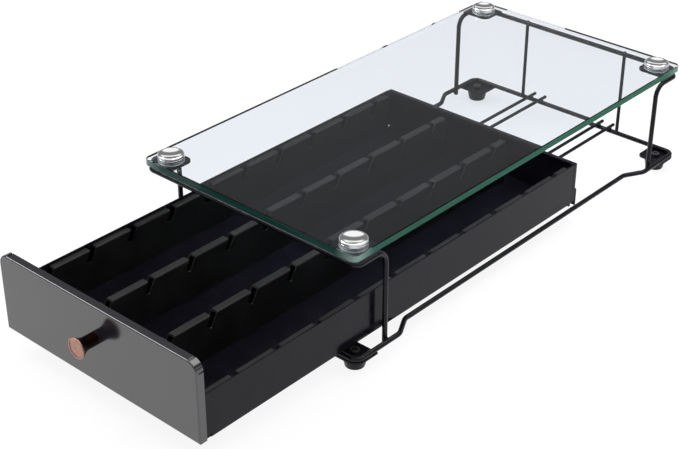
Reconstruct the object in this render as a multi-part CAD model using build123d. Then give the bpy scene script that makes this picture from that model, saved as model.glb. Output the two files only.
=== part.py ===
from build123d import *
import math
import os

# Sliding drawer on a low wire stand with a glass shelf above it.
# Millimetres, +Z up. Origin: on the floor under the middle of the wire stand.
# X runs across the front, the drawer slides along Y and its front looks towards -Y.
# The drawer is drawn pulled out, as it rests.

os.makedirs("parts", exist_ok=True)

# ---------------------------------------------------------------- wires
WIRE_R = 2.0            # stand rings and arches
THIN_R = 1.5            # runners and rear struts
WELD_SINK = 0.2         # how far one welded piece is sunk into the other

# ---------------------------------------------------------------- lanes for the pods
LANE_PITCH = 64.0
RAIL_W = 7.0            # comb rail between two lanes
SIDE_RAIL_W = 5.8       # comb rail along a side wall
SLOT_COUNT = 10
SLOT_PITCH = 40.0
SLOT_LEAD = 27.5        # rail's front end to the first slot
SLOT_TAIL = 16.5        # last slot to the rail's back end
SLOT_LEAN = 30.0        # degrees from upright, leaning back
SLOT_W = 5.7
SLOT_DEPTH = 11.0       # along the lean
SLOT_END_R = 1.2
RAIL_END_GAP = 1.6      # rail to the tray's front wall
RAIL_BACK_GAP = 10.1    # rail to the tray's back wall
COMB_DROP = 1.6         # rail tops below the tray's rim

# ---------------------------------------------------------------- drawer tray
SHEET_T = 1.2
TRAY_H = 36.5
PULLED_OUT = 134.8      # how far the drawer stands out of its closed place
RUN_GAP = 0.3           # running gap between tray and runners
FOLD_R = 1.4            # outside of the folds
BACK_FLANGE = 4.4       # the back wall's side flanges
SEAM_GAP = 0.5          # seam between side wall and flange
BACK_RETURN = 3.6       # folded top edge of the back wall
FRONT_RELIEF_L = 5.0    # notches in the lower corners of the side walls
FRONT_RELIEF_H = 3.0
REAR_RELIEF_L = 5.0
REAR_RELIEF_H = 2.0

# ---------------------------------------------------------------- front panel
PANEL_H = 63.1
PANEL_SIDE = 0.5        # stands out past the tray on each side
PANEL_D = 6.5           # depth of the folded edge
PANEL_LIFT = 0.4        # panel's lower edge above the tray's floor
PANEL_CORNER_R = 8.0
PANEL_FOLD_R = 1.0
PANEL_LIP = 8.0         # inward lips that carry the tray
PANEL_SLIT = 1.4        # relief slits at the rounded corners
RIVET_R = 1.6
RIVET_HEAD_R = 3.0
RIVET_HEAD_H = 0.9
PANEL_RIVET_UP = (8.9, 27.9)    # above the tray's underside

# ---------------------------------------------------------------- knob
KNOB_UP = 37.0          # above the panel's lower edge
KNOB_L = 16.0
KNOB_STEM_R = 4.9
KNOB_FACE_R = 8.0
KNOB_FACE_T = 1.2
KNOB_FLARE_L = 8.0
KNOB_WAIST_R = 6.0      # hollow curve where the stem flares
KNOB_RIM_W = 1.0
KNOB_RIM_H = 0.5
KNOB_SCREW_R = 2.0
KNOB_SCREW_HEAD_R = 3.8
KNOB_SCREW_HEAD_H = 2.2
KNOB_SCREW_BITE = 9.0

# ---------------------------------------------------------------- glass shelf
GLASS_Y = 210.0         # half length
GLASS_LEDGE = 1.4       # glass sides past the middle of the legs
GLASS_END_LEDGE = 3.2   # glass ends past the middle of the arches' cross wires
GLASS_T = 6.0
GLASS_CORNER_R = 5.0
GLASS_CHAMFER = 0.6
CAP_IN_X = 14.7         # cap centre in from the glass's side
CAP_IN_Y = 15.0         # cap centre in from the glass's end
TOP_PLATE_IN = 12.0     # top plate's inner corner past the cap's centre
TOP_PLATE_OVER = 0.6    # its outer edges past the middle of the wires
TOP_PLATE_CORNER_R = 6.0
GASKET_T = 0.4
GASKET_OUTER_R = 10.5
NECK_R = 8.2
NECK_CLEAR = 0.3        # neck to glass hole and gasket
CAP_R = 10.4
CAP_H = 3.3
CAP_EDGE_R = 1.2
CAP_RIM_W = 2.0         # raised rim around the cap's shallow dish
CAP_DISH = 0.3
CAP_GROOVE_Z = 0.9      # groove below the cap's middle
CAP_GROOVE_W = 0.5
CAP_GROOVE_D = 0.4

# ---------------------------------------------------------------- feet and base ring
PLATE_T = 1.5           # corner plates
FOOT_H = 9.7
FOOT_TOP_R = 9.5
FOOT_BOTTOM_R = 7.5
FOOT_EDGE_R = 0.8
FOOT_IN_X = 10.8        # foot centre in from the ring's side wire
FOOT_IN_Y = 10.4        # foot centre in from the ring's end wire
BASE_PLATE_IN_X = 23.0  # base plate's inner corner from the side wire
BASE_PLATE_IN_Y = 20.5  # and from the end wire
BASE_PLATE_CORNER_R = 5.0
RING_LEDGE = 0.6        # ring's end wires past the glass
RING_BEND_R = 6.5
JOGGLE_BEND_R = 11.0
WAIST_SIDE = 0.5        # ring's narrow stretch past the tray's side
JOGGLE_L = 17.0         # length of the joggle along Y
JOGGLE_FROM_LEG = 12.5  # joggle to the leg

# ---------------------------------------------------------------- arches, struts, runners
HEADROOM = 4.7          # panel's top to the arch's cross wire
LEG_PLAY = 4.1          # tray's side to the legs
LEG_SETBACK = 34.6      # legs in from the ring's end wires
LEG_BEND_R = 10.0       # bend at the top of each leg
ARCH_CORNER_R = 6.0     # bend into the cross wire
LEG_OVERRUN = 2.6       # legs end this far below the base ring's centre
STRUT_X = 52.0          # two struts between the rear wires
STRUT_IN_Y = 1.2        # struts in from the ring's end wire
STRUT_PAST = 1.0        # strut's top end past the middle of the cross wire
RUNNER_X = (32.0, 43.5) # a pair of runners on each side
RUNNER_OVERHANG = 7.0   # runner tips past the base ring's centre line

# ---------------------------------------------------------------- screws
SCREW_CLEAR = 0.2       # plain holes around shanks
THREAD_GAP = 0.05       # threaded holes are drawn plain
BLIND_GAP = 0.5         # blind holes run on past the screw's tip
CAP_SCREW_R = 2.5
CAP_SCREW_HEAD_R = 4.6
CAP_SCREW_HEAD_H = 2.5
CAP_SCREW_BITE = 8.5    # length above the top plate
FOOT_SCREW_R = 2.0
FOOT_SCREW_HEAD_R = 3.6
FOOT_SCREW_HEAD_H = 2.2
FOOT_SCREW_BITE = 6.5   # length below the base plate
SOCKET_R = 1.3          # drive recess of every screw
SOCKET_DEPTH = 1.1
SCREW_EDGE_R = 0.5

# ---------------------------------------------------------------- stop tabs
TAB_T = 1.5
TAB_H = 12.9            # top of the tab above the tray's underside
TAB_SIDE = 0.1          # tab's outer edge in from the tray's side
TAB_CORNER_R = 2.5
TONGUE_W = 5.0
TONGUE_SIDE = 0.4       # tongue to the heads of the foot screws
TONGUE_GAP = 0.4        # tongue above the base plates
TAB_FOOT_GAP = 0.3      # shoulder above the side wires
TAB_RIVET_IN = 5.0      # rivets from the tab's inner edge
TAB_RIVET_UP = (4.4, 9.9)       # above the tray's underside

# ---------------------------------------------------------------- widths that follow
lane_half = (LANE_PITCH - RAIL_W) / 2
lean = math.radians(SLOT_LEAN)
tray_x = LANE_PITCH + lane_half + SIDE_RAIL_W + SHEET_T
panel_x = tray_x + PANEL_SIDE
leg_x = tray_x + LEG_PLAY + WIRE_R
ear_x = leg_x + 2 * WIRE_R - WELD_SINK
waist_x = tray_x + WAIST_SIDE
foot_x = ear_x - FOOT_IN_X
glass_x = leg_x + GLASS_LEDGE
cap_x = glass_x - CAP_IN_X
tongue_out_x = foot_x - FOOT_SCREW_HEAD_R - TONGUE_SIDE
tab_in_x = tongue_out_x - TONGUE_W
tab_out_x = tray_x - TAB_SIDE
tab_rivet_x = tab_in_x + TAB_RIVET_IN

# ---------------------------------------------------------------- lengths that follow
ring_y = GLASS_Y + RING_LEDGE
arch_y = GLASS_Y - GLASS_END_LEDGE
strut_y = ring_y - STRUT_IN_Y
leg_y = ring_y - LEG_SETBACK
joggle_out_y = leg_y - JOGGLE_FROM_LEG
joggle_in_y = joggle_out_y - JOGGLE_L
foot_y = ring_y - FOOT_IN_Y
cap_y = GLASS_Y - CAP_IN_Y
stop_wire_y = ring_y - WIRE_R
tray_back_y = stop_wire_y - TAB_T - PULLED_OUT
back_in_y = tray_back_y - SHEET_T
comb_back_y = back_in_y - RAIL_BACK_GAP
last_slot_y = comb_back_y - SLOT_TAIL
first_slot_y = last_slot_y - (SLOT_COUNT - 1) * SLOT_PITCH
comb_front_y = first_slot_y - SLOT_LEAD
tray_front_y = comb_front_y - RAIL_END_GAP - SHEET_T
panel_front_y = tray_front_y - PANEL_D

# ---------------------------------------------------------------- heights that follow
base_plate_bottom = FOOT_H
base_plate_top = base_plate_bottom + PLATE_T
ring_z = base_plate_top - WELD_SINK + WIRE_R
runner_z = ring_z + WIRE_R - WELD_SINK + THIN_R
runner_top = runner_z + THIN_R
tray_z = runner_top + RUN_GAP
floor_top = tray_z + SHEET_T
tray_top = tray_z + TRAY_H
comb_top = tray_top - COMB_DROP
panel_bottom = tray_z + PANEL_LIFT
panel_top = panel_bottom + PANEL_H
knob_z = panel_bottom + KNOB_UP
arch_z = panel_top + HEADROOM + WIRE_R
top_plate_bottom = arch_z + WIRE_R - WELD_SINK
top_plate_top = top_plate_bottom + PLATE_T
glass_bottom = top_plate_top + GASKET_T
glass_top = glass_bottom + GLASS_T
hole_r = NECK_R + NECK_CLEAR
CORNERS = {
    "front_left": (-1, -1), "front_right": (1, -1),
    "rear_left": (-1, 1), "rear_right": (1, 1),
}


def box(x0, x1, y0, y1, z0, z1):
    """A block given by its limits."""
    return Pos((x0 + x1) / 2, (y0 + y1) / 2, (z0 + z1) / 2) * Box(
        abs(x1 - x0), abs(y1 - y0), abs(z1 - z0))


def rod(x, y, z0, z1, r):
    """An upright cylinder."""
    return Pos(x, y, (z0 + z1) / 2) * Cylinder(r, abs(z1 - z0))


def rod_y(x, z, y0, y1, r):
    """A cylinder along Y."""
    return Pos(x, (y0 + y1) / 2, z) * Rot(90, 0, 0) * Cylinder(r, abs(y1 - y0))


def bent_wire(points, r, bends):
    """Round wire along a polyline, with one bend radius for each inner point."""
    points = [Vector(*p) for p in points]
    begin, pieces = points[0], []
    for before, corner, after, bend in zip(points, points[1:], points[2:], bends):
        back, ahead = (before - corner).normalized(), (after - corner).normalized()
        half = math.acos(back.dot(ahead)) / 2
        enter = corner + back * (bend / math.tan(half))
        leave = corner + ahead * (bend / math.tan(half))
        middle = corner + (back + ahead).normalized() * (bend / math.sin(half) - bend)
        pieces += [Edge.make_line(begin, enter), Edge.make_three_point_arc(enter, middle, leave)]
        begin = leave
    path = Wire(pieces + [Edge.make_line(begin, points[-1])])
    start = Plane(origin=path @ 0, z_dir=path % 0)
    return sweep(start * Circle(r), path=path)


def at_corner(shape, sx, sy):
    """The front-left or other copy of a shape drawn at the rear right."""
    if sx < 0:
        shape = mirror(shape, Plane.YZ)
    if sy < 0:
        shape = mirror(shape, Plane.XZ)
    return shape


def save(shape, name):
    """Write one node."""
    shape.label = name
    export_step(shape, f"parts/{name}.step")


def in_four(shape):
    """Four copies, one at each corner."""
    return Compound(children=[at_corner(shape, sx, sy) for sx, sy in CORNERS.values()])


# ================================================================ base ring
ring_points = [(0, -ring_y), (ear_x, -ring_y), (ear_x, -joggle_out_y), (waist_x, -joggle_in_y),
               (waist_x, joggle_in_y), (ear_x, joggle_out_y), (ear_x, ring_y),
               (0, ring_y)]
ring_bends = (RING_BEND_R, *4 * (JOGGLE_BEND_R,), RING_BEND_R)
right_half = bent_wire([(x, y, ring_z) for x, y in ring_points], WIRE_R, ring_bends)
base_ring = right_half + mirror(right_half, Plane.YZ)
save(base_ring, "base_ring")

# ================================================================ arches
leg_bottom = ring_z - LEG_OVERRUN
arch = bent_wire(
    [(-leg_x, -leg_y, leg_bottom), (-leg_x, -leg_y, arch_z), (-leg_x, -arch_y, arch_z),
     (leg_x, -arch_y, arch_z), (leg_x, -leg_y, arch_z), (leg_x, -leg_y, leg_bottom)],
    WIRE_R, (LEG_BEND_R, ARCH_CORNER_R, ARCH_CORNER_R, LEG_BEND_R))
front_arch = arch - base_ring
rear_arch = mirror(front_arch, Plane.XZ)
save(front_arch, "front_arch")
save(rear_arch, "rear_arch")

# ================================================================ rear struts
strut = rod(STRUT_X, strut_y, ring_z + WIRE_R / 2, arch_z + STRUT_PAST, THIN_R)
strut = strut - base_ring - rear_arch
save(strut, "strut_right")
save(mirror(strut, Plane.YZ), "strut_left")

# ================================================================ runners
for place, x in zip(("inner", "outer"), RUNNER_X):
    half_length = ring_y + RUNNER_OVERHANG
    runner = rod_y(x, runner_z, -half_length, half_length, THIN_R)
    tips = runner.edges().filter_by(GeomType.CIRCLE)
    runner = fillet(tips, THIN_R * 0.4) - base_ring
    save(runner, f"runner_right_{place}")
    save(mirror(runner, Plane.YZ), f"runner_left_{place}")


# ================================================================ corner plates
def corner_plate(x_in, y_in, x_out, y_out, z0, inner_r, outer_r):
    """Plate in the rear right corner, rounded at its inner and outer corners."""
    plate = box(x_in, x_out, y_in, y_out, z0, z0 + PLATE_T)
    upright = plate.edges().filter_by(Axis.Z)
    inner = upright.sort_by(lambda e: e.center().X + e.center().Y)[0]
    plate = fillet(inner, inner_r)
    outer = plate.edges().filter_by(Axis.Z).sort_by(lambda e: e.center().X + e.center().Y)[-1]
    return fillet(outer, outer_r)


base_plate = corner_plate(
    ear_x - BASE_PLATE_IN_X, ring_y - BASE_PLATE_IN_Y, ear_x + WIRE_R, ring_y + WIRE_R,
    base_plate_bottom, BASE_PLATE_CORNER_R, RING_BEND_R + WIRE_R)
base_plate -= rod(foot_x, foot_y, 0, ring_z, FOOT_SCREW_R + SCREW_CLEAR)
base_plate -= base_ring
top_plate = corner_plate(
    cap_x - TOP_PLATE_IN, cap_y - TOP_PLATE_IN,
    leg_x + TOP_PLATE_OVER, arch_y + TOP_PLATE_OVER,
    top_plate_bottom, TOP_PLATE_CORNER_R, ARCH_CORNER_R + WIRE_R)
top_plate -= rod(cap_x, cap_y, arch_z, glass_top, CAP_SCREW_R + SCREW_CLEAR)
top_plate -= rear_arch

# ================================================================ feet
foot = Pos(0, 0, FOOT_H / 2) * Cone(FOOT_BOTTOM_R, FOOT_TOP_R, FOOT_H)
foot = fillet(foot.edges().group_by(Axis.Z)[0], FOOT_EDGE_R)
screw_hole = rod(0, 0, FOOT_H - FOOT_SCREW_BITE - BLIND_GAP, FOOT_H, FOOT_SCREW_R + THREAD_GAP)
foot = Pos(foot_x, foot_y, 0) * (foot - screw_hole)

for corner, (sx, sy) in CORNERS.items():
    save(at_corner(base_plate, sx, sy), f"base_plate_{corner}")
    save(at_corner(top_plate, sx, sy), f"top_plate_{corner}")
    save(at_corner(foot, sx, sy), f"foot_{corner}")


# ================================================================ screws
def screw(shank_r, shank_l, head_r, head_h):
    """Pan head screw pointing down, head seated on z = 0, hexagon drive."""
    head = Pos(0, 0, head_h / 2) * Cylinder(head_r, head_h)
    head = fillet(head.edges().group_by(Axis.Z)[-1], SCREW_EDGE_R)
    drive = Pos(0, 0, head_h - SOCKET_DEPTH) * extrude(RegularPolygon(SOCKET_R, 6), SOCKET_DEPTH)
    shank = Pos(0, 0, -shank_l / 2) * Cylinder(shank_r, shank_l)
    shank = chamfer(shank.edges().group_by(Axis.Z)[0], shank_r * 0.25)
    return head - drive + shank


foot_screw = screw(FOOT_SCREW_R, PLATE_T + FOOT_SCREW_BITE, FOOT_SCREW_HEAD_R, FOOT_SCREW_HEAD_H)
foot_screw = Pos(foot_x, foot_y, base_plate_top) * foot_screw
save(in_four(foot_screw), "foot_screws")
cap_screw = screw(CAP_SCREW_R, PLATE_T + CAP_SCREW_BITE, CAP_SCREW_HEAD_R, CAP_SCREW_HEAD_H)
cap_screw = Pos(cap_x, cap_y, top_plate_bottom) * Rot(180, 0, 0) * cap_screw
save(in_four(cap_screw), "cap_screws")

# ================================================================ glass shelf
gasket = rod(cap_x, cap_y, top_plate_top, glass_bottom, GASKET_OUTER_R)
gasket -= rod(cap_x, cap_y, top_plate_top, glass_bottom, hole_r)
save(in_four(gasket), "glass_gaskets")

glass = Pos(0, 0, glass_bottom) * extrude(
    RectangleRounded(2 * glass_x, 2 * GLASS_Y, GLASS_CORNER_R), GLASS_T)
rims = glass.edges().group_by(Axis.Z)
glass = chamfer(rims[0] + rims[-1], GLASS_CHAMFER)
for sx, sy in CORNERS.values():
    glass -= rod(sx * cap_x, sy * cap_y, glass_bottom, glass_top, hole_r)
save(glass, "glass_top")

# ================================================================ chrome caps
cap = rod(0, 0, glass_top, glass_top + CAP_H, CAP_R)
cap = fillet(cap.edges().group_by(Axis.Z)[-1], CAP_EDGE_R)
cap = fillet(cap.edges().group_by(Axis.Z)[0], CAP_GROOVE_D)
cap -= rod(0, 0, glass_top + CAP_H - CAP_DISH, glass_top + CAP_H, CAP_R - CAP_RIM_W)
groove_z = glass_top + CAP_GROOVE_Z
cap -= (rod(0, 0, groove_z, groove_z + CAP_GROOVE_W, CAP_R)
        - rod(0, 0, groove_z, groove_z + CAP_GROOVE_W, CAP_R - CAP_GROOVE_D))
cap += rod(0, 0, top_plate_top, glass_top, NECK_R)
screw_top = top_plate_top + CAP_SCREW_BITE
cap -= rod(0, 0, top_plate_top, screw_top + BLIND_GAP, CAP_SCREW_R + THREAD_GAP)
cap = Pos(cap_x, cap_y, 0) * cap
for corner, (sx, sy) in CORNERS.items():
    save(at_corner(cap, sx, sy), f"cap_{corner}")

# ================================================================ front panel
panel_h = panel_top - panel_bottom


def panel_outline(inset):
    """Panel outline in the XZ plane, rounded at the top corners."""
    width = 2 * (panel_x - inset)
    height = panel_h - 2 * inset
    face = Rectangle(width, height)
    top = face.vertices().sort_by(Axis.Y)[-2:]
    return fillet(top, PANEL_CORNER_R - inset)


panel_mid = Pos(0, panel_front_y, (panel_bottom + panel_top) / 2) * Rot(90, 0, 0)
front_panel = panel_mid * extrude(panel_outline(0), -PANEL_D)
front_edge = front_panel.faces().sort_by(Axis.Y)[0].edges()
front_panel = fillet(front_edge, PANEL_FOLD_R)
hollow = panel_mid * Pos(0, 0, -SHEET_T) * extrude(panel_outline(SHEET_T), -PANEL_D)
front_panel -= hollow
for side in (-1, 1):
    lip_in = panel_x - SHEET_T - PANEL_LIP
    front_panel += box(side * lip_in, side * (panel_x - SHEET_T / 2),
                       tray_front_y - SHEET_T, tray_front_y,
                       panel_bottom + SHEET_T / 2, tray_top)
    for slit_x, slit_z in ((panel_x - PANEL_CORNER_R, panel_top),
                           (panel_x, panel_top - PANEL_CORNER_R)):
        front_panel -= Pos(side * slit_x, tray_front_y, slit_z) * Box(
            PANEL_SLIT if slit_z == panel_top else 3 * SHEET_T,
            2 * (PANEL_D - PANEL_FOLD_R - SHEET_T),
            3 * SHEET_T if slit_z == panel_top else PANEL_SLIT)
front_panel -= rod_y(0, knob_z, panel_front_y, panel_front_y + SHEET_T,
                     KNOB_SCREW_R + SCREW_CLEAR)

# ================================================================ knob
profile = Plane.XY * make_face(Polyline(
    (0, 0), (KNOB_STEM_R, 0), (KNOB_STEM_R, KNOB_L - KNOB_FLARE_L),
    (KNOB_FACE_R, KNOB_L - KNOB_FACE_T), (KNOB_FACE_R, KNOB_L),
    (KNOB_FACE_R - KNOB_RIM_W, KNOB_L), (KNOB_FACE_R - KNOB_RIM_W, KNOB_L - KNOB_RIM_H),
    (0, KNOB_L - KNOB_RIM_H), close=True))
knob = revolve(profile, Axis.Y)
waist = knob.edges().filter_by(GeomType.CIRCLE).sort_by(
    lambda e: abs(e.center().Y - (KNOB_L - KNOB_FLARE_L)))[0]
knob = fillet(waist, KNOB_WAIST_R)
knob = Pos(0, panel_front_y, knob_z) * Rot(180, 0, 0) * knob
knob -= rod_y(0, knob_z, panel_front_y - KNOB_SCREW_BITE - BLIND_GAP, panel_front_y,
              KNOB_SCREW_R + THREAD_GAP)
save(knob, "knob")

knob_screw = screw(KNOB_SCREW_R, SHEET_T + KNOB_SCREW_BITE, KNOB_SCREW_HEAD_R, KNOB_SCREW_HEAD_H)
knob_screw = Pos(0, panel_front_y + SHEET_T, knob_z) * Rot(-90, 0, 0) * knob_screw
save(knob_screw, "knob_screw")

# ================================================================ tray shell
flange_y = tray_back_y - BACK_FLANGE
side_end_y = flange_y - SEAM_GAP
shell = box(-tray_x, tray_x, tray_front_y, side_end_y, tray_z, tray_top)
shell = fillet(shell.edges().filter_by(Axis.Y).group_by(Axis.Z)[0], FOLD_R)
shell -= box(-tray_x + SHEET_T, tray_x - SHEET_T, tray_front_y + SHEET_T, side_end_y,
             floor_top, tray_top)
shell += box(-tray_x + SHEET_T, tray_x - SHEET_T, side_end_y, back_in_y, tray_z, floor_top)
for side in (-1, 1):
    outside = side * (tray_x + 1)
    inside = side * (tray_x - FOLD_R)
    shell -= box(inside, outside, tray_front_y, tray_front_y + FRONT_RELIEF_L,
                 tray_z, tray_z + FRONT_RELIEF_H)
    shell -= box(inside, outside, side_end_y - REAR_RELIEF_L, side_end_y,
                 tray_z, tray_z + REAR_RELIEF_H)

# ================================================================ tray back
back = box(-tray_x, tray_x, flange_y, tray_back_y, tray_z, tray_top)
back = fillet(back.edges().filter_by(Axis.Z).group_by(Axis.Y)[-1], FOLD_R)
back = fillet(back.edges().group_by(Axis.Z)[-1].group_by(Axis.Y)[-1], SHEET_T * 0.7)
back -= box(-tray_x + SHEET_T, tray_x - SHEET_T, flange_y, back_in_y, tray_z, tray_top - SHEET_T)
back -= box(-tray_x + SHEET_T, tray_x - SHEET_T, flange_y, back_in_y - BACK_RETURN,
            tray_top - SHEET_T, tray_top)
for side in (-1, 1):
    back -= box(side * (tray_x - SHEET_T), side * (tray_x + 1), flange_y, back_in_y,
                tray_z, tray_z + REAR_RELIEF_H)


# ================================================================ rivets
def rivet(grip):
    """Domed rivet along -Z with its head on z = 0 and a flat upset end."""
    head = Pos(0, 0, RIVET_HEAD_H / 2) * Cylinder(RIVET_HEAD_R, RIVET_HEAD_H)
    head = fillet(head.edges().group_by(Axis.Z)[-1], RIVET_HEAD_H * 0.8)
    shank = Pos(0, 0, -grip / 2) * Cylinder(RIVET_R, grip)
    tail = Pos(0, 0, -grip - RIVET_HEAD_H / 2) * Cylinder(RIVET_R * 1.4, RIVET_HEAD_H)
    return head + shank + tail


# Front panel rivets: head inside the tray, tail inside the folded panel.
panel_rivet_x = panel_x - SHEET_T - PANEL_LIP / 2
rivets = []
for side in (-1, 1):
    for up in PANEL_RIVET_UP:
        spot = (side * panel_rivet_x, tray_z + up)
        hole = rod_y(*spot, tray_front_y - SHEET_T, tray_front_y + SHEET_T, RIVET_R)
        front_panel -= hole
        shell -= hole
        rivets.append(Pos(spot[0], tray_front_y + SHEET_T, spot[1]) * Rot(-90, 0, 0)
                      * rivet(2 * SHEET_T))
save(Compound(children=rivets), "panel_rivets")
save(front_panel, "front_panel")
save(shell, "tray_shell")

# ================================================================ stop tabs
shoulder_z = ring_z + WIRE_R + TAB_FOOT_GAP
tongue_z = base_plate_top + TONGUE_GAP
tab = box(tab_in_x, tab_out_x, tray_back_y, tray_back_y + TAB_T, shoulder_z, tray_z + TAB_H)
tab = fillet(tab.edges().filter_by(Axis.Y).group_by(Axis.Z)[-1], TAB_CORNER_R)
tab += box(tab_in_x, tongue_out_x, tray_back_y, tray_back_y + TAB_T, tongue_z, shoulder_z)
tab = fillet(tab.edges().filter_by(Axis.Y).group_by(Axis.Z)[0], 0.8)
tab_rivets = []
for up in TAB_RIVET_UP:
    z = tray_z + up
    hole = rod_y(tab_rivet_x, z, back_in_y, tray_back_y + TAB_T, RIVET_R)
    tab -= hole
    back -= hole
    back -= mirror(hole, Plane.YZ)
    fastener = Pos(tab_rivet_x, tray_back_y + TAB_T, z) * Rot(-90, 0, 0) * rivet(TAB_T + SHEET_T)
    tab_rivets += [fastener, mirror(fastener, Plane.YZ)]
save(tab, "stop_tab_right")
save(mirror(tab, Plane.YZ), "stop_tab_left")
save(Compound(children=tab_rivets), "tab_rivets")
save(back, "tray_back")

# ================================================================ comb rails

def slotted(rail, x0, x1):
    """Cut the leaning slots into a rail between x0 and x1."""
    length = 2 * SLOT_DEPTH
    cutter = Box(abs(x1 - x0) + 2, SLOT_W, length)
    cutter = fillet(cutter.edges().filter_by(Axis.X).group_by(Axis.Z)[0], SLOT_END_R)
    cutter = Rot(-SLOT_LEAN, 0, 0) * Pos(0, 0, length / 2 - SLOT_DEPTH) * cutter
    cuts = [Pos((x0 + x1) / 2, first_slot_y + i * SLOT_PITCH, comb_top) * cutter
            for i in range(SLOT_COUNT)]
    return rail - cuts


web_in = LANE_PITCH + lane_half
wall_in = tray_x - SHEET_T
side_comb = box(web_in, wall_in, comb_front_y, comb_back_y, floor_top, comb_top)
side_comb = fillet(side_comb.edges().filter_by(Axis.Y).sort_by(
    lambda e: e.center().X - e.center().Z)[0], FOLD_R)
side_comb -= box(web_in + SHEET_T, wall_in, comb_front_y, comb_back_y,
                 floor_top, comb_top - SHEET_T)
side_comb = slotted(side_comb, web_in, wall_in)
save(side_comb, "comb_right")
save(mirror(side_comb, Plane.YZ), "comb_left")

mid_in, mid_out = lane_half, LANE_PITCH - lane_half
mid_comb = box(mid_in, mid_out, comb_front_y, comb_back_y, floor_top, comb_top)
mid_comb = fillet(mid_comb.edges().filter_by(Axis.Y).group_by(Axis.Z)[-1], FOLD_R)
mid_comb -= box(mid_in + SHEET_T, mid_out - SHEET_T, comb_front_y, comb_back_y,
                floor_top, comb_top - SHEET_T)
mid_comb = slotted(mid_comb, mid_in, mid_out)
save(mid_comb, "comb_mid_right")
save(mirror(mid_comb, Plane.YZ), "comb_mid_left")

# ---------------------------------------------------------------- limits of the slide
print("opens by", round(tray_back_y + stop_wire_y, 2),
      "closes by", round(stop_wire_y - tray_back_y - TAB_T, 2))
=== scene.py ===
"""Dresses the coffee pod drawer: finishes, welds, glass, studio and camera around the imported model."""

import logging
import math
from dataclasses import dataclass, field
from enum import Enum
from typing import Any, Iterable, Optional, Sequence

import bmesh
import bpy
from mathutils import Matrix, Vector


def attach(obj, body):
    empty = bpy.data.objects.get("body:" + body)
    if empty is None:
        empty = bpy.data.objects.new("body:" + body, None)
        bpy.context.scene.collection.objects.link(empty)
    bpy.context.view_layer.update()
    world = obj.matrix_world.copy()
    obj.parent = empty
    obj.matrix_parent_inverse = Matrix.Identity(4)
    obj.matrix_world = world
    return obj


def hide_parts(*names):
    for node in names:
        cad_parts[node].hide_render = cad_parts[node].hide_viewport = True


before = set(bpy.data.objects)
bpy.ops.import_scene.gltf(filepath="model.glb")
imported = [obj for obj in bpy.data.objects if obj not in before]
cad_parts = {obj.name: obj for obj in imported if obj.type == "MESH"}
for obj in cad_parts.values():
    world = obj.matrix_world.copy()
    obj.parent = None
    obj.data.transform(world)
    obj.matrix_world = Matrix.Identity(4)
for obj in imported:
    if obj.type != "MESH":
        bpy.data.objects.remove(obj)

LOG = logging.getLogger("pod_drawer")
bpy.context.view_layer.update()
MM = 0.001
WHITE = (1.0, 1.0, 1.0, 1.0)

# Edges past this angle, in degrees, stay sharp.
SHARP_ANGLE = 50.0

# Millimetres within which a vertex counts as being at a spot.
SPOT_REACH = 0.02

# Metres within which doubles merge, and edges count as slivers.
MERGE_REACH = 1e-7
SLIVER = 1e-8

# Spans of a noise value, from where a pattern starts to show to where it is full.
BROAD = (0.3, 0.7)
PATCHES = (0.35, 0.65)
STREAKS = (0.45, 0.75)
SPECKS = (0.6, 0.8)


class Body(Enum):
    """The two rigid bodies of the drawer."""

    STAND = "stand"
    DRAWER = "drawer"


class Corner(Enum):
    """The four corners of the stand, as (side, end) signs."""

    FRONT_LEFT = (-1, -1)
    FRONT_RIGHT = (1, -1)
    REAR_LEFT = (-1, 1)
    REAR_RIGHT = (1, 1)

    @property
    def tag(self) -> str:
        """The corner's name as the nodes spell it."""
        return self.name.lower()


# ------------------------------------------------------------------ shader graphs
def tinted(colour: Iterable[float], gain: float = 1.0, base: float = 0.0) -> tuple[float, ...]:
    """A colour with full alpha, times a gain and over a base."""
    return (*(part * gain + base for part in colour), 1.0)


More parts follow.
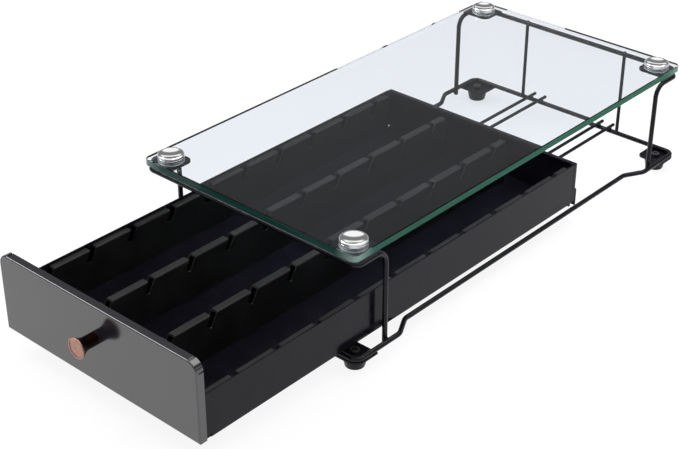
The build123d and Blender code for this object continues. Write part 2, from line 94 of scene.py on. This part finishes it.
class Graph:
    """A material or world node tree that is built link by link."""

    def __init__(self, tree: bpy.types.NodeTree) -> None:
        """Empty the tree.

        Args:
            tree: The node tree to fill.
        """
        self.tree = tree
        tree.nodes.clear()

    def add(self, kind: str, inputs: Optional[dict[Any, Any]] = None, **props: Any) -> bpy.types.Node:
        """Add a node.

        Args:
            kind: The node's type name without its ShaderNode prefix.
            inputs: Socket name or number to a value, or to a socket to link from.
            props: Properties of the node itself.

        Returns:
            The new node.
        """
        node = self.tree.nodes.new(f"ShaderNode{kind}")
        for key, value in props.items():
            setattr(node, key, value)
        for key, value in (inputs or {}).items():
            if isinstance(value, bpy.types.NodeSocket):
                self.tree.links.new(value, node.inputs[key])
            else:
                node.inputs[key].default_value = value
        return node

    def coords(self) -> bpy.types.NodeSocket:
        """Object coordinates, which are metres in the part's frame."""
        return self.add("TexCoord").outputs["Object"]

    def noise(self, where: bpy.types.NodeSocket, scale: float, detail: float = 3.0,
              rough: float = 0.5) -> bpy.types.NodeSocket:
        """A noise value.

        Args:
            where: Coordinates to read.
            scale: Noise cells in a metre.
            detail: Octaves.
            rough: Weight of the finer octaves.

        Returns:
            The noise's value socket.
        """
        node = self.add("TexNoise", {"Vector": where, "Scale": scale, "Detail": detail, "Roughness": rough})
        return node.outputs["Fac"]

    def stretch(self, where: bpy.types.NodeSocket, scale: Sequence[float]) -> bpy.types.NodeSocket:
        """Coordinates scaled by axis, for a pattern that is drawn out one way."""
        return self.add("Mapping", {"Vector": where, "Scale": tuple(scale)}).outputs[0]

    def ramp(self, value: bpy.types.NodeSocket, lo: float, hi: float, out_lo: float,
             out_hi: float) -> bpy.types.NodeSocket:
        """Map a value from one range to another, clamped."""
        node = self.add("MapRange", {0: value, 1: lo, 2: hi, 3: out_lo, 4: out_hi})
        return node.outputs[0]

    def blend(self, share: Any, first: Any, second: Any) -> bpy.types.NodeSocket:
        """Mix two colours, with the share that the second one gets. Each may be a value or a socket."""
        return self.add("Mix", {0: share, 6: first, 7: second}, data_type="RGBA").outputs[2]

    def maths(self, operation: str, *values: Any) -> bpy.types.NodeSocket:
        """A Math node on one to three values."""
        return self.add("Math", dict(enumerate(values)), operation=operation).outputs[0]

    def bump(self, height: bpy.types.NodeSocket, depth: float,
             strength: float = 1.0) -> bpy.types.NodeSocket:
        """A bumped normal.

        Args:
            height: Height from 0 to 1.
            depth: Metres that a height of 1 stands for.
            strength: Share of the bump to apply.

        Returns:
            The normal socket.
        """
        node = self.add("Bump", {"Height": height, "Distance": depth, "Strength": strength})
        return node.outputs[0]

    def output(self, surface: bpy.types.NodeSocket) -> None:
        """Send a shader to the surface output."""
        kind = "OutputWorld" if self.tree.id_data in list(bpy.data.worlds) else "OutputMaterial"
        self.add(kind, {"Surface": surface})


@dataclass(frozen=True)
class Finish:
    """One finish of the object. The fields are those of its shader."""

    name: str
    colour: tuple[float, float, float]
    roughness: float = 0.4
    metallic: float = 0.0
    ior: float = 1.5

    def material(self) -> bpy.types.Material:
        """The finish's material, made on first use.

        Returns:
            The material.
        """
        made = bpy.data.materials.get(self.name)
        if made is None:
            made = bpy.data.materials.new(self.name)
            made.use_nodes = True
            graph = Graph(made.node_tree)
            graph.output(self.surface(graph))
        return made

    def shader(self, graph: Graph, **sockets: Any) -> bpy.types.Node:
        """A Principled shader with the finish's constants.

        Args:
            graph: The graph it goes into.
            sockets: More sockets, with _ for a space.

        Returns:
            The shader node.
        """
        inputs = {"Base Color": tinted(self.colour), "Roughness": self.roughness,
                  "Metallic": self.metallic, "IOR": self.ior}
        inputs.update({key.replace("_", " "): value for key, value in sockets.items()})
        return graph.add("BsdfPrincipled", inputs)

    def surface(self, graph: Graph) -> bpy.types.NodeSocket:
        """The shader that the finish shows. Each kind of finish has its own."""
        raise NotImplementedError


@dataclass(frozen=True)
class PowderCoat(Finish):
    """Baked powder paint: a fine orange peel with small changes of gloss."""

    grain: float = 900.0
    peel: float = 0.00003
    spread: float = 0.08
    cloud_scale: float = 60.0
    patch: tuple[float, float] = (1.35, 0.001)

    def surface(self, graph: Graph) -> bpy.types.NodeSocket:
        """Paint with an uneven sheen and a fine peel.

        Args:
            graph: The graph it goes into.

        Returns:
            The surface socket.
        """
        where = graph.coords()
        cloud = graph.noise(where, self.cloud_scale, detail=4.0)
        fine = graph.noise(where, self.grain, detail=2.0)
        sheen = graph.ramp(cloud, *BROAD, self.roughness - self.spread, self.roughness + self.spread)
        tone = graph.blend(graph.ramp(cloud, *PATCHES, 0.0, 1.0), tinted(self.colour),
                           tinted(self.colour, *self.patch))
        return self.shader(graph, Base_Color=tone, Roughness=sheen,
                           Normal=graph.bump(fine, self.peel)).outputs[0]


@dataclass(frozen=True)
class Lacquer(Finish):
    """Smooth stoved lacquer on the front panel: deep gloss with a trace of haze and hair marks."""

    haze: float = 0.04
    haze_scale: float = 14.0
    hair_scale: tuple[float, float, float] = (40.0, 900.0, 900.0)
    hair_haze: float = 0.03
    peel_scale: float = 350.0
    peel: float = 0.00001
    patch_gain: float = 1.2

    def surface(self, graph: Graph) -> bpy.types.NodeSocket:
        """Lacquer with faint haze and hair marks.

        Args:
            graph: The graph it goes into.

        Returns:
            The surface socket.
        """
        where = graph.coords()
        cloud = graph.noise(where, self.haze_scale, detail=5.0, rough=0.6)
        hairs = graph.noise(graph.stretch(where, self.hair_scale), 1.0, detail=2.0)
        peel = graph.noise(where, self.peel_scale, detail=1.0)
        sheen = graph.maths("ADD", graph.ramp(cloud, *BROAD, self.roughness, self.roughness + self.haze),
                            graph.ramp(hairs, *SPECKS, 0.0, self.hair_haze))
        tone = graph.blend(cloud, tinted(self.colour), tinted(self.colour, self.patch_gain))
        return self.shader(graph, Base_Color=tone, Roughness=sheen,
                           Normal=graph.bump(peel, self.peel, strength=0.5)).outputs[0]


@dataclass(frozen=True)
class Moulded(Finish):
    """Moulded rubber or plastic with a fine matt grain."""

    grain: float = 1400.0
    depth: float = 0.00005
    dust_scale: float = 45.0
    dust_sheen: tuple[float, float] = (-0.06, 0.08)
    dust_span: tuple[float, float] = (0.4, 0.75)
    patch: tuple[float, float] = (1.6, 0.002)

    def surface(self, graph: Graph) -> bpy.types.NodeSocket:
        """Matt moulding with a spark-eroded grain.

        Args:
            graph: The graph it goes into.

        Returns:
            The surface socket.
        """
        where = graph.coords()
        cells = graph.add("TexVoronoi", {"Vector": where, "Scale": self.grain}).outputs["Distance"]
        dust = graph.noise(where, self.dust_scale, detail=4.0)
        sheen = graph.ramp(dust, *BROAD, *(self.roughness + step for step in self.dust_sheen))
        tone = graph.blend(graph.ramp(dust, *self.dust_span, 0.0, 1.0), tinted(self.colour),
                           tinted(self.colour, *self.patch))
        return self.shader(graph, Base_Color=tone, Roughness=sheen,
                           Normal=graph.bump(cells, self.depth)).outputs[0]


@dataclass(frozen=True)
class Plating(Finish):
    """Bright plate on metal: chrome or zinc, with a little uneven polish."""

    polish: float = 120.0
    haze_gain: float = 1.8
    dull_gain: float = 0.96
    wave: float = 0.00002

    def surface(self, graph: Graph) -> bpy.types.NodeSocket:
        """Plated metal with slight waves under the plate.

        Args:
            graph: The graph it goes into.

        Returns:
            The surface socket.
        """
        where = graph.coords()
        cloud = graph.noise(where, self.polish)
        sheen = graph.ramp(cloud, *BROAD, self.roughness, self.roughness * self.haze_gain)
        tone = graph.blend(cloud, tinted(self.colour), tinted(self.colour, self.dull_gain))
        return self.shader(graph, Base_Color=tone, Roughness=sheen,
                           Normal=graph.bump(cloud, self.wave, strength=0.4)).outputs[0]


@dataclass(frozen=True)
class AgedCopper(Finish):
    """Dark bronzed stem with a rubbed copper face."""

    face: tuple[float, float, float] = (0.50, 0.285, 0.225)
    face_y: float = -0.3683
    # Metres behind the face where the rubbed copper starts to darken, and where it is dark.
    face_rub: tuple[float, float] = (0.0007, 0.0018)
    face_rough: float = 0.42
    face_dull: float = 0.72
    stem_gain: float = 2.2
    mottle_scale: float = 420.0
    mottle_sheen: tuple[float, float] = (-0.05, 0.08)
    pits: float = 1500.0
    pit_share: float = 0.3
    pit_depth: float = 0.00012

    def surface(self, graph: Graph) -> bpy.types.NodeSocket:
        """Copper that shows on the face and rim and darkens down the stem.

        Args:
            graph: The graph it goes into.

        Returns:
            The surface socket.
        """
        where = graph.coords()
        along = graph.add("SeparateXYZ", {0: where}).outputs[1]
        rubbed = graph.ramp(along, *(self.face_y + step for step in self.face_rub), 1.0, 0.0)
        mottle = graph.noise(where, self.mottle_scale, detail=4.0, rough=0.65)
        grain = graph.noise(where, self.pits, detail=2.0)
        dark = graph.blend(mottle, tinted(self.colour), tinted(self.colour, self.stem_gain))
        bright = graph.blend(graph.ramp(mottle, *PATCHES, 0.0, 1.0), tinted(self.face),
                             tinted(self.face, self.face_dull))
        tone = graph.blend(rubbed, dark, bright)
        sheen = graph.maths("ADD", graph.ramp(rubbed, 0.0, 1.0, self.roughness, self.face_rough),
                            graph.ramp(mottle, *BROAD, *self.mottle_sheen))
        height = graph.maths("ADD", graph.maths("MULTIPLY", mottle, rubbed),
                             graph.maths("MULTIPLY", grain, self.pit_share))
        return self.shader(graph, Base_Color=tone, Roughness=sheen,
                           Normal=graph.bump(height, self.pit_depth)).outputs[0]


@dataclass(frozen=True)
class ShelfGlass(Finish):
    """Clear float glass whose polished edges show its green."""

    # Painted shade: the darker green of the ends that face front and back.
    end_shade_tone: tuple[float, float, float] = (0.016, 0.075, 0.062)
    near_tone: tuple[float, float, float] = (0.020, 0.115, 0.080)
    far_tone: tuple[float, float, float] = (0.004, 0.165, 0.085)
    # Painted reflection: the pale grey-green that the edges take near the caps, also used for the painted
    # highlight streaks.
    painted_glint_tone: tuple[float, float, float] = (0.42, 0.58, 0.52)
    # Metres from the middle where the painted reflection at the corners starts, and where it is full.
    corner_glint_x: tuple[float, float] = (0.088, 0.106)
    corner_glint_y: tuple[float, float] = (0.190, 0.209)
    corner_glint_share: float = 0.75
    # Painted highlight: the noise scale of faint pale streaks along the edges, and how much they pale the
    # green.
    glint_streak_scale: tuple[float, float, float] = (26.0, 26.0, 420.0)
    glint_streak_share: float = 0.07
    end_shade_facing: tuple[float, float] = (0.4, 0.9)
    smear_scale: float = 9.0
    smear: float = 0.012
    side_range: tuple[float, float] = (0.2, 0.3)
    rim_rough: float = 0.1
    rim_ior: float = 1.18
    rim_clear: float = 0.15
    shadow_tint: tuple[float, float, float] = (0.9, 0.94, 0.96)
    half_length: float = 0.21

    def edge_colour(self, graph: Graph, where: bpy.types.NodeSocket,
                    normal: bpy.types.NodeSocket) -> bpy.types.NodeSocket:
        """Green of the edges, deeper to the back, with painted shade on the ends, a painted reflection that
        turns the corners pale and faint painted highlight streaks.

        Args:
            graph: The graph it goes into.
            where: Object coordinates.
            normal: The face's normal.

        Returns:
            The colour socket.
        """
        place = graph.add("SeparateXYZ", {0: where}).outputs
        across = graph.maths("ABSOLUTE", place[0])
        along = graph.maths("ABSOLUTE", place[1])
        back = graph.ramp(place[1], -self.half_length, self.half_length, 0.0, 1.0)
        side = graph.blend(back, tinted(self.near_tone), tinted(self.far_tone))
        facing = graph.maths("ABSOLUTE", graph.add("SeparateXYZ", {0: normal}).outputs[0])
        # Painted shade: edges that face front or back take the darker end tone.
        tone = graph.blend(graph.ramp(facing, *self.end_shade_facing, 0.0, 1.0), tinted(self.end_shade_tone), side)
        # Painted reflection: the edges turn pale towards the corners, where the caps stand.
        corner = graph.maths("MULTIPLY", graph.ramp(across, *self.corner_glint_x, 0.0, 1.0),
                             graph.ramp(along, *self.corner_glint_y, 0.0, 1.0))
        tone = graph.blend(graph.maths("MULTIPLY", corner, self.corner_glint_share), tone,
                           tinted(self.painted_glint_tone))
        # Painted highlight: faint pale streaks along the edges, towards the pale glint tone.
        glint_streak = graph.noise(graph.stretch(where, self.glint_streak_scale), 1.0)
        pale = graph.blend(self.glint_streak_share, tone, tinted(self.painted_glint_tone))
        return graph.blend(graph.ramp(glint_streak, *STREAKS, 0.0, 1.0), tone, pale)

    def surface(self, graph: Graph) -> bpy.types.NodeSocket:
        """Clear glass on the faces, green on the edges, with lamps let through.

        Args:
            graph: The graph it goes into.

        Returns:
            The surface socket.
        """
        where = graph.coords()
        smear = graph.noise(where, self.smear_scale)
        sheen = graph.ramp(smear, *STREAKS, self.roughness, self.roughness + self.smear)
        pane = self.shader(graph, Roughness=sheen, Transmission_Weight=1.0).outputs[0]
        face = graph.add("NewGeometry").outputs
        tone = self.edge_colour(graph, where, face["True Normal"])
        rim = self.shader(graph, Base_Color=tone, Roughness=self.rim_rough, IOR=self.rim_ior,
                          Transmission_Weight=self.rim_clear).outputs[0]
        upright = graph.maths("ABSOLUTE", graph.add("SeparateXYZ", {0: face["True Normal"]}).outputs[2])
        outside = graph.maths("SUBTRACT", 1.0, face["Backfacing"])
        side = graph.maths("MULTIPLY", graph.ramp(upright, *self.side_range, 1.0, 0.0), outside)
        glass = graph.add("MixShader", {0: side, 1: pane, 2: rim}).outputs[0]
        lamp = graph.add("LightPath").outputs["Is Shadow Ray"]
        clear = graph.add("BsdfTransparent", {0: tinted(self.shadow_tint)}).outputs[0]
        return graph.add("MixShader", {0: lamp, 1: glass, 2: clear}).outputs[0]


WIRE_COAT = PowderCoat("satin_wire_coat", (0.004, 0.0042, 0.0065), 0.16, ior=1.3, peel=0.000008, spread=0.05)
SHEET_COAT = PowderCoat("satin_sheet_coat", (0.0055, 0.005, 0.0085), 0.17, ior=1.24, grain=700.0,
                        peel=0.000001)
PANEL_LACQUER = Lacquer("panel_lacquer", (0.012, 0.0115, 0.0165), 0.12, ior=1.88)
RAIL_PLASTIC = Moulded("rail_plastic", (0.006, 0.006, 0.006), 0.45, ior=1.35)
FOOT_RUBBER = Moulded("foot_rubber", (0.004, 0.004, 0.004), 0.2, ior=1.3, depth=0.00001)
GASKET_VINYL = Moulded("gasket_vinyl", (0.58, 0.60, 0.59), 0.35, ior=1.45, depth=0.00001)
CAP_CHROME = Plating("cap_chrome", (0.94, 0.94, 0.945), 0.045, 1.0)
SCREW_ZINC = Plating("screw_zinc", (0.62, 0.62, 0.64), 0.25, 1.0, polish=900.0)
SCREW_BLACK = PowderCoat("black_oxide", (0.010, 0.010, 0.011), 0.34, grain=1600.0)
KNOB_COPPER = AgedCopper("knob_copper", (0.016, 0.007, 0.004), 0.18, 0.9)
SHELF_GLASS = ShelfGlass("float_glass", (0.90, 0.935, 0.985), 0.0, ior=1.42)


# ------------------------------------------------------------------ making pieces
def dress(nodes: Iterable[str], finish: Finish) -> list[bpy.types.Object]:
    """Give carried-over nodes a finish.

    Args:
        nodes: Node names.
        finish: The finish they get.

    Returns:
        The nodes' objects.
    """
    dressed = []
    for name in nodes:
        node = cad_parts[name]
        node.data.materials.clear()
        node.data.materials.append(finish.material())
        dressed.append(node)
    return dressed


def new_piece(name: str, mesh: bmesh.types.BMesh, finish: Finish, body: Body) -> bpy.types.Object:
    """Turn a bmesh into a smooth-shaded piece that rides on a body.

    Args:
        name: The piece's name.
        mesh: Its mesh, which is freed.
        finish: Its finish.
        body: The body it rides on.

    Returns:
        The new object.
    """
    data = bpy.data.meshes.new(name)
    bmesh.ops.recalc_face_normals(mesh, faces=mesh.faces)
    mesh.to_mesh(data)
    mesh.free()
    data.shade_smooth()
    data.set_sharp_from_angle(angle=math.radians(SHARP_ANGLE))
    data.materials.append(finish.material())
    piece = bpy.data.objects.new(name, data)
    bpy.context.scene.collection.objects.link(piece)
    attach(piece, body.value)
    return piece


def turned(profile: Sequence[tuple[float, float]], steps: int = 96) -> bmesh.types.BMesh:
    """Turn a profile about Z into a closed solid.

    Args:
        profile: (radius, height) points in millimetres, from the axis and back to it.
        steps: Steps round the axis.

    Returns:
        The solid's mesh.
    """
    mesh = bmesh.new()
    line = [mesh.verts.new((radius * MM, 0.0, height * MM)) for radius, height in profile]
    runs = [mesh.edges.new(pair) for pair in zip(line, line[1:])]
    bmesh.ops.spin(mesh, geom=line + runs, axis=(0.0, 0.0, 1.0), cent=(0.0, 0.0, 0.0), angle=math.tau,
                   steps=steps, use_merge=True)
    bmesh.ops.remove_doubles(mesh, verts=mesh.verts, dist=MERGE_REACH)
    bmesh.ops.dissolve_degenerate(mesh, edges=mesh.edges, dist=SLIVER)
    bmesh.ops.recalc_face_normals(mesh, faces=mesh.faces)
    return mesh


def rounded(mesh: bmesh.types.BMesh, spots: Sequence[tuple[float, float]], width: float,
            segments: int) -> None:
    """Round the ring edges of a turned mesh at the given (radius, height) spots.

    Args:
        mesh: The turned mesh.
        spots: Where the edges are, in millimetres.
        width: Width of the rounding in millimetres.
        segments: Its segments.
    """
    def is_at(vert: bmesh.types.BMVert) -> bool:
        """Whether a vertex lies at one of the spots."""
        radius, height = math.hypot(vert.co.x, vert.co.y) / MM, vert.co.z / MM
        return any(abs(radius - r) < SPOT_REACH and abs(height - h) < SPOT_REACH for r, h in spots)

    rings = [edge for edge in mesh.edges if all(is_at(vert) for vert in edge.verts)]
    bmesh.ops.bevel(mesh, geom=rings, offset=width * MM, segments=segments, profile=0.5,
                    affect="EDGES", material=-1)


@dataclass
class SubAssembly:
    """A group of pieces that is built and dressed together."""

    pieces: list[bpy.types.Object] = field(default_factory=list, init=False)

    def build(self) -> list[bpy.types.Object]:
        """Build and dress the group.

        Returns:
            The objects of the group.
        """
        raise NotImplementedError


@dataclass
class WireStand(SubAssembly):
    """The welded wire stand: ring, arches, struts and runners, with its weld beads."""

    runner_x: tuple[float, ...] = (-43.5, -32.0, 32.0, 43.5)
    strut_x: tuple[float, ...] = (-52.0, 52.0)
    ring_y: float = 210.6
    ring_z: float = 13.0
    strut_y: float = 209.4
    arch_y: float = 206.8
    arch_z: float = 88.3
    leg_x: float = 105.6
    leg_y: float = 176.0
    wire_r: float = 2.0
    # Half sizes of the weld beads.
    runner_bead: tuple[float, float, float] = (2.3, 2.3, 1.1)
    leg_bead: tuple[float, float, float] = (1.2, 2.6, 2.0)
    strut_foot_bead: tuple[float, float, float] = (2.2, 1.8, 0.9)
    strut_head_bead: tuple[float, float, float] = (2.3, 0.9, 1.4)

    def beads(self, name: str, spots: Iterable[tuple[Sequence[float], Sequence[float]]]) -> bpy.types.Object:
        """One piece of weld beads, each an ellipsoid drawn out by its size.

        Args:
            name: The piece's name.
            spots: (centre, half sizes) of each bead, in millimetres.

        Returns:
            The piece.
        """
        mesh = bmesh.new()
        for centre, size in spots:
            place = Matrix.Translation(Vector(centre) * MM) @ Matrix.Diagonal((*(s * MM for s in size), 1.0))
            bmesh.ops.create_icosphere(mesh, subdivisions=2, radius=1.0, matrix=place)
        return new_piece(name, mesh, WIRE_COAT, Body.STAND)

    def build(self) -> list[bpy.types.Object]:
        """Dress the wires and lay the beads.

        Returns:
            The wires and beads.
        """
        wires = ["base_ring", "front_arch", "rear_arch", "strut_left", "strut_right"]
        wires += [f"runner_{side}_{place}" for side in ("left", "right") for place in ("inner", "outer")]
        self.pieces = dress(wires, WIRE_COAT)
        touch_z = self.ring_z + self.wire_r
        self.pieces.append(self.beads("runner_welds", [
            ((x, end * self.ring_y, touch_z), self.runner_bead) for x in self.runner_x for end in (-1, 1)]))
        uprights = [((side * (self.leg_x + self.wire_r), end * self.leg_y, self.ring_z), self.leg_bead)
                    for side in (-1, 1) for end in (-1, 1)]
        uprights += [((x, self.strut_y, touch_z), self.strut_foot_bead) for x in self.strut_x]
        uprights += [((x, self.arch_y + self.wire_r, self.arch_z), self.strut_head_bead)
                     for x in self.strut_x]
        self.pieces.append(self.beads("upright_welds", uprights))
        return self.pieces


@dataclass
class CornerHardware(SubAssembly):
    """Corner plates, rubber feet, gaskets and screws."""

    def build(self) -> list[bpy.types.Object]:
        """Dress the hardware at the four corners.

        Returns:
            The nodes dressed.
        """
        plates = [f"{level}_plate_{corner.tag}" for level in ("base", "top") for corner in Corner]
        self.pieces = dress(plates, SHEET_COAT)
        self.pieces += dress([f"foot_{corner.tag}" for corner in Corner], FOOT_RUBBER)
        self.pieces += dress(["glass_gaskets"], GASKET_VINYL)
        self.pieces += dress(["foot_screws"], SCREW_BLACK) + dress(["cap_screws"], SCREW_ZINC)
        return self.pieces


@dataclass
class GlassTop(SubAssembly):
    """The glass shelf and the four chrome caps that hold it."""

    centre: tuple[float, float] = (92.3, 195.0)
    glass_top: float = 98.0
    head_r: float = 10.4
    head_h: float = 3.3
    edge_r: float = 1.2
    rim_w: float = 2.0
    dish: float = 1.1
    dish_steps: tuple[float, ...] = (0.25, 0.5, 0.75)
    # The groove's height over the glass, its width and its depth.
    groove: tuple[float, float, float] = (0.9, 0.5, 0.4)
    groove_edge_r: float = 0.12
    foot_edge_r: float = 0.3
    neck_r: float = 8.2
    neck_h: float = 6.4

    def cap(self, corner: Corner) -> bpy.types.Object:
        """Turn one cap: a low head with a dished top and a groove, on a neck through the glass.

        Args:
            corner: The corner it screws down.

        Returns:
            The cap.
        """
        low, wide, deep = self.groove
        dish_r = self.head_r - self.rim_w
        profile = [(0.0, self.head_h - self.dish)]
        profile += [(dish_r * t, self.head_h - self.dish * (1 - t * t)) for t in self.dish_steps]
        profile += [(dish_r, self.head_h), (self.head_r, self.head_h), (self.head_r, low + wide),
                    (self.head_r - deep, low + wide), (self.head_r - deep, low), (self.head_r, low),
                    (self.head_r, 0.0), (self.neck_r, 0.0), (self.neck_r, -self.neck_h),
                    (0.0, -self.neck_h)]
        mesh = turned(profile)
        rounded(mesh, [(self.head_r, self.head_h)], self.edge_r, segments=8)
        rounded(mesh, [(self.head_r, low + wide), (self.head_r, low), (dish_r, self.head_h)],
                self.groove_edge_r, segments=2)
        rounded(mesh, [(self.head_r, 0.0)], self.foot_edge_r, segments=3)
        side, end = corner.value
        place = Vector((side * self.centre[0], end * self.centre[1], self.glass_top)) * MM
        bmesh.ops.translate(mesh, verts=mesh.verts, vec=place)
        piece = new_piece(f"chrome_cap_{corner.tag}", mesh, CAP_CHROME, Body.STAND)
        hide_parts(f"cap_{corner.tag}")
        return piece

    def build(self) -> list[bpy.types.Object]:
        """Dress the glass and turn the caps.

        Returns:
            The glass and the caps.
        """
        self.pieces = dress(["glass_top"], SHELF_GLASS)
        self.pieces += [self.cap(corner) for corner in Corner]
        return self.pieces


@dataclass
class SlidingTray(SubAssembly):
    """The sheet tray with its back, tabs, rivets and comb rails."""

    def build(self) -> list[bpy.types.Object]:
        """Dress the tray.

        Returns:
            The nodes dressed.
        """
        sheet = ["tray_shell", "tray_back", "stop_tab_left", "stop_tab_right", "tab_rivets", "panel_rivets"]
        self.pieces = dress(sheet, SHEET_COAT)
        self.pieces += dress(["comb_left", "comb_mid_left", "comb_mid_right", "comb_right"], RAIL_PLASTIC)
        return self.pieces


@dataclass
class FrontPanel(SubAssembly):
    """The front panel with its turned knob."""

    seat: tuple[float, float, float] = (0.0, -352.3, 55.5)
    length: float = 16.0
    stem_r: float = 4.9
    face_r: float = 8.0
    # The face's rim: its height, its width and how far it stands over the face.
    lip: tuple[float, float, float] = (1.2, 1.0, 0.5)
    # (width beyond the stem, height) of each point where the stem opens to the face.
    flare: tuple[tuple[float, float], ...] = (
        (0.0, 7.2), (0.15, 8.8), (0.6, 10.4), (1.45, 12.2), (2.45, 13.8))
    edge_r: float = 0.25

    def knob(self) -> bpy.types.Object:
        """Turn the knob: a straight stem that flares to a rimmed face.

        Returns:
            The knob.
        """
        lip_h, lip_w, lip_d = self.lip
        profile = [(0.0, 0.0), (self.stem_r, 0.0)]
        profile += [(self.stem_r + out, height) for out, height in self.flare]
        profile += [(self.face_r, self.length - lip_h), (self.face_r, self.length),
                    (self.face_r - lip_w, self.length), (self.face_r - lip_w, self.length - lip_d),
                    (0.0, self.length - lip_d)]
        mesh = turned(profile)
        rounded(mesh, [(self.face_r, self.length), (self.face_r - lip_w, self.length),
                       (self.face_r, self.length - lip_h)], self.edge_r, segments=3)
        bmesh.ops.rotate(mesh, verts=mesh.verts, cent=(0.0, 0.0, 0.0),
                         matrix=Matrix.Rotation(math.radians(90.0), 3, "X"))
        bmesh.ops.translate(mesh, verts=mesh.verts, vec=Vector(self.seat) * MM)
        piece = new_piece("turned_knob", mesh, KNOB_COPPER, Body.DRAWER)
        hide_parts("knob")
        return piece

    def build(self) -> list[bpy.types.Object]:
        """Dress the panel and turn its knob.

        Returns:
            The panel, knob and knob screw.
        """
        self.pieces = dress(["front_panel"], PANEL_LACQUER)
        self.pieces.append(self.knob())
        self.pieces += dress(["knob_screw"], SCREW_ZINC)
        return self.pieces


# ------------------------------------------------------------------ studio
@dataclass(frozen=True)
class SoftBox:
    """A square softbox aimed at a point."""

    name: str
    place: tuple[float, float, float]
    aim: tuple[float, float, float]
    size: float
    watts: float

    def hang(self) -> bpy.types.Object:
        """Hang the lamp.

        Returns:
            The lamp object.
        """
        lamp = bpy.data.lights.new(self.name, "AREA")
        lamp.shape = "SQUARE"
        lamp.size = self.size
        lamp.energy = self.watts
        holder = bpy.data.objects.new(self.name, lamp)
        bpy.context.scene.collection.objects.link(holder)
        holder.location = self.place
        holder.rotation_mode = "QUATERNION"
        holder.rotation_quaternion = (Vector(self.aim) - Vector(self.place)).to_track_quat("-Z", "Y")
        return holder


@dataclass
class Studio:
    """Pale floor, white surround, soft lamps and the camera."""

    azimuth: float = 41.94
    elevation: float = 30.59
    eye: tuple[float, float, float] = (0.6729, -0.8558, 0.6313)
    lens: float = 79.45
    sensor: float = 36.0
    clip: tuple[float, float] = (0.01, 50.0)
    floor_size: float = 8.0
    floor_drop: float = 0.0002
    floor_tone: tuple[float, float, float] = (0.92, 0.93, 0.94)
    floor_glow: float = 1.07
    shadow_share: float = 0.17
    world_light: float = 0.55
    # Dim bands that mirrors see: the rise where each starts, is full, fades and ends, and what it takes.
    walls: tuple[tuple[float, float, float, float, float], ...] = (
        (-0.04, 0.03, 0.14, 0.24, 0.85), (0.29, 0.37, 0.59, 0.66, 0.80))
    lamps: tuple[SoftBox, ...] = (
        SoftBox("key_softbox", (-1.32, -0.5, 1.54), (0.0, -0.15, 0.0), 0.8, 15.0),
        SoftBox("top_softbox", (0.3, 0.5, 1.6), (0.0, 0.0, 0.0), 1.4, 12.0),
    )

    def seen_directly(self, graph: Graph) -> bpy.types.NodeSocket:
        """1 for rays from the camera, a mirror surface or through glass, else 0.

        Args:
            graph: The graph it goes into.

        Returns:
            The value socket.
        """
        path = graph.add("LightPath").outputs
        either = graph.maths("MAXIMUM", path["Is Camera Ray"], path["Is Glossy Ray"])
        return graph.maths("MAXIMUM", either, path["Is Transmission Ray"])

    def lay_floor(self) -> bpy.types.Object:
        """Lay the floor, white to the camera with a faint shadow.

        Returns:
            The floor object.
        """
        mesh = bmesh.new()
        bmesh.ops.create_grid(mesh, x_segments=1, y_segments=1, size=self.floor_size / 2)
        data = bpy.data.meshes.new("studio_floor")
        mesh.to_mesh(data)
        mesh.free()
        floor = bpy.data.objects.new("studio_floor", data)
        floor.location.z = -self.floor_drop
        bpy.context.scene.collection.objects.link(floor)
        paper = bpy.data.materials.new("studio_paper")
        paper.use_nodes = True
        graph = Graph(paper.node_tree)
        flat = graph.add("BsdfDiffuse", {"Color": tinted(self.floor_tone)}).outputs[0]
        glow = graph.add("Emission", {"Color": WHITE, "Strength": self.floor_glow}).outputs[0]
        share = graph.maths("MULTIPLY", self.seen_directly(graph), 1.0 - self.shadow_share)
        graph.output(graph.add("MixShader", {0: share, 1: flat, 2: glow}).outputs[0])
        data.materials.append(paper)
        return floor

    def light_world(self) -> None:
        """White to the camera and through glass, with dim bands to mirrors, dimmer as a light."""
        world = bpy.data.worlds.new("studio_world")
        world.use_nodes = True
        bpy.context.scene.world = world
        graph = Graph(world.node_tree)
        rise = graph.add("SeparateXYZ", {0: graph.add("TexCoord").outputs["Generated"]}).outputs[2]
        wall = 0.0
        for start, full, fade, end, dim in self.walls:
            band = graph.maths("MULTIPLY", graph.ramp(rise, start, full, 0.0, dim),
                               graph.ramp(rise, fade, end, 1.0, 0.0))
            wall = graph.maths("ADD", wall, band)
        path = graph.add("LightPath").outputs
        seen = graph.maths("SUBTRACT", 1.0, graph.maths("MULTIPLY", wall, path["Is Glossy Ray"]))
        strength = graph.add("Mix", {0: self.seen_directly(graph), 2: self.world_light, 3: seen},
                             data_type="FLOAT").outputs[0]
        sky = graph.add("Background", {"Color": WHITE, "Strength": strength})
        graph.output(sky.outputs[0])

    def place_camera(self) -> bpy.types.Object:
        """Place the camera at the photograph's viewing angle.

        Returns:
            The camera object.
        """
        camera = bpy.data.objects.new("camera", bpy.data.cameras.new("camera"))
        camera.data.lens = self.lens
        camera.data.sensor_width = self.sensor
        camera.data.clip_start, camera.data.clip_end = self.clip
        turn, rise = math.radians(self.azimuth), math.radians(self.elevation)
        back = Vector((math.sin(turn) * math.cos(rise), -math.cos(turn) * math.cos(rise), math.sin(rise)))
        camera.location = self.eye
        camera.rotation_mode = "QUATERNION"
        camera.rotation_quaternion = (-back).to_track_quat("-Z", "Y")
        bpy.context.scene.collection.objects.link(camera)
        bpy.context.scene.camera = camera
        return camera

    def build(self) -> None:
        """Set up the whole studio."""
        self.lay_floor()
        self.light_world()
        for lamp in self.lamps:
            lamp.hang()
        self.place_camera()
        bpy.context.scene.view_settings.view_transform = "Standard"


def main() -> None:
    """Build each sub-assembly in order, then the studio."""
    logging.basicConfig(level=logging.INFO)
    for group in (WireStand(), CornerHardware(), GlassTop(), SlidingTray(), FrontPanel()):
        for piece in group.build():
            LOG.info("%s: %s", type(group).__name__, piece.name)
    Studio().build()


if __name__ == "__main__":
    main()
